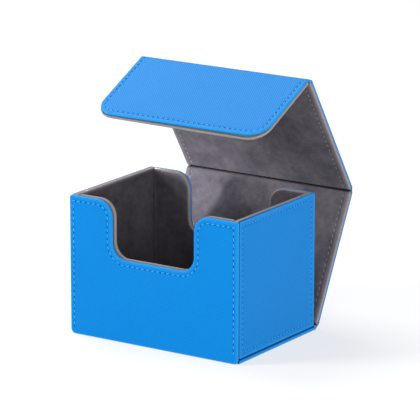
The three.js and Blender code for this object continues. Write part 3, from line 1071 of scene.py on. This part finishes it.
def buildCrease(name, bodyName, lower, lowerFold, upperFold, upperBody, thickness, wrapRun):
    # lower says where the sheet below stops on its blue face, which way it runs and where its lining is
    strip, upper = sheetFrame(lowerFold), sheetFrame(upperFold)
    stripMiddle = foldSpan(lowerFold, upperFold) / 2
    middle = strip(0, stripMiddle, 0)
    lowerEnd, upperEnd = lower["end"], upper(0, creaseClearance, 0)
    runs = [wrapRun, wrapRun + (middle - lowerEnd).length]
    skins = creaseSkins(name, lower, strip, upper, middle, thickness, runs)
    linings = creaseLinings(name, lower, strip, upper, stripMiddle, thickness, runs)
    for pieces, nodeName, slotName in ((skins, "_skin", "blue_leatherette"),
                                       (linings, "_lining", "grey_suede")):
        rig.blend(pieces[0], lower["body"], bodyName, start=lowerEnd, end=middle)
        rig.blend(pieces[1], bodyName, upperBody, start=middle, end=upperEnd)
        for piece in pieces:
            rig.replaces(piece, bodyName + nodeName)
            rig.slot(piece, slotName)
    ends = (stripMiddle - crease["seamHalf"], stripMiddle + crease["seamHalf"])
    seam = [[(x, end) for end in ends]
            for x in (-body["half"] + lidPanel["stitch"], body["half"] - lidPanel["stitch"])]
    sewRuns(name, [onSheet(line, strip, stitchDip) for line in seam], bodyName, blueThread, blueHole)


def panelEnd(bodyName, place, reach, thickness):
    return {"body": bodyName, "end": place(0, reach, 0), "way": place.along, "inward": place.inward,
            "thickness": thickness}


def buildLid():
    creaseRun = foldSpan("base_fold_lower", "base_fold_upper") + 2 * creaseClearance
    run = body["baseRear"]
    baseEnd = {"body": "case", "end": Vector((0, body["baseRear"], 0)), "way": Vector((0, 1, 0)),
               "inward": Vector((0, 0, 1)), "thickness": body["wallFoot"] - 2 * layerGap}
    place, reach, thickness = buildLidPanel("back", "back_panel", "base_fold_upper", run + creaseRun)
    buildCrease("baseCrease", "base_crease", baseEnd, "base_fold_lower", "base_fold_upper", "back_panel",
                thickness, run)
    run += creaseRun + reach
    backEnd = panelEnd("back_panel", place, reach, thickness)
    place, reach, thickness = buildLidPanel("top", "top_panel", "top_fold_upper", run + creaseRun)
    buildCrease("topCrease", "top_crease", backEnd, "top_fold_lower", "top_fold_upper", "top_panel",
                thickness, run)
    run += creaseRun + reach
    buildLidPanel("flap", "flap", "flap_fold_upper", run + creaseRun, free=True)
    buildCrease("flapCrease", "flap_crease", panelEnd("top_panel", place, reach, thickness),
                "flap_fold_lower", "flap_fold_upper", "flap", thickness, run)


buildLid()
print("lid made")

# boards and magnets keep their own shape and get their finish here
for nodeName, node in frame["nodes"].items():
    if node.hide_render:
        continue
    finish = nickel if "magnet" in nodeName else board
    node.data.materials.clear()
    node.data.materials.append(finish)

# a pale floor and soft studio light
studio = {"floor": (0.37, 0.37, 0.374, 1), "floorGlow": 0.6, "floorSize": 6, "floorHeight": -0.1 * mm,
          "world": 0.3}
lights = [
    {"name": "key", "place": (-1.08, -0.98, 0.74), "aim": (0, 0, 0.06), "size": 0.6, "power": 18.5},
    {"name": "rightFill", "place": (1.2, -0.35, 0.5), "aim": (0, 0, 0.05), "size": 0.8, "power": 9},
    {"name": "frontFill", "place": (0.75, -1.2, 0.55), "aim": (0, 0, 0.05), "size": 0.9, "power": 6},
    {"name": "backTop", "place": (-0.72, 0.41, 1.12), "aim": (0, 0, 0.1), "size": 1.0, "power": 12.5},
    # a narrow beam over the left wall, left out of reflections
    {"name": "leftBeam", "place": (-0.395, -0.344, 0.159), "aim": (-0.045, 0.07, 0.065), "size": 0.1,
     "power": 0.035, "spread": 9},
]


def addFloor():
    mesh = bpy.data.meshes.new("studioFloor")
    s = studio["floorSize"]
    mesh.from_pydata([(-s, -s, 0), (s, -s, 0), (s, s, 0), (-s, s, 0)], [], [(0, 1, 2, 3)])
    material, _, _, shader = startMaterial("studioPaper")
    shader.inputs["Base Color"].default_value = studio["floor"]
    shader.inputs["Roughness"].default_value = 0.9
    shader.inputs["Emission Color"].default_value = (1, 1, 1, 1)
    shader.inputs["Emission Strength"].default_value = studio["floorGlow"]
    mesh.materials.append(material)
    floorPlane = bpy.data.objects.new("studioFloor", mesh)
    floorPlane.location = (0, 0, studio["floorHeight"])
    bpy.context.scene.collection.objects.link(floorPlane)
    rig.stage(floorPlane)


def addLights():
    for light in lights:
        data = bpy.data.lights.new(light["name"], "AREA")
        data.shape = "DISK"
        data.size = light["size"]
        data.energy = light["power"]
        data.spread = math.radians(light.get("spread", 180))
        lamp = bpy.data.objects.new(light["name"], data)
        lamp.location = light["place"]
        lamp.rotation_euler = (Vector(light["aim"]) - lamp.location).to_track_quat("-Z", "Y").to_euler()
        lamp.visible_glossy = "spread" not in light
        bpy.context.scene.collection.objects.link(lamp)
    world = bpy.data.worlds.new("studioWorld")
    world.use_nodes = True
    world.node_tree.nodes["Background"].inputs["Color"].default_value = (1, 1, 1, 1)
    world.node_tree.nodes["Background"].inputs["Strength"].default_value = studio["world"]
    bpy.context.scene.world = world


addFloor()
addLights()
bpy.context.scene.view_settings.view_transform = "Standard"
print("studio made")

with open("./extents.json", "w") as sizeFile:
    json.dump({"cad": cadBox, "visual": [list(corner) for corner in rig.bounds()]}, sizeFile)
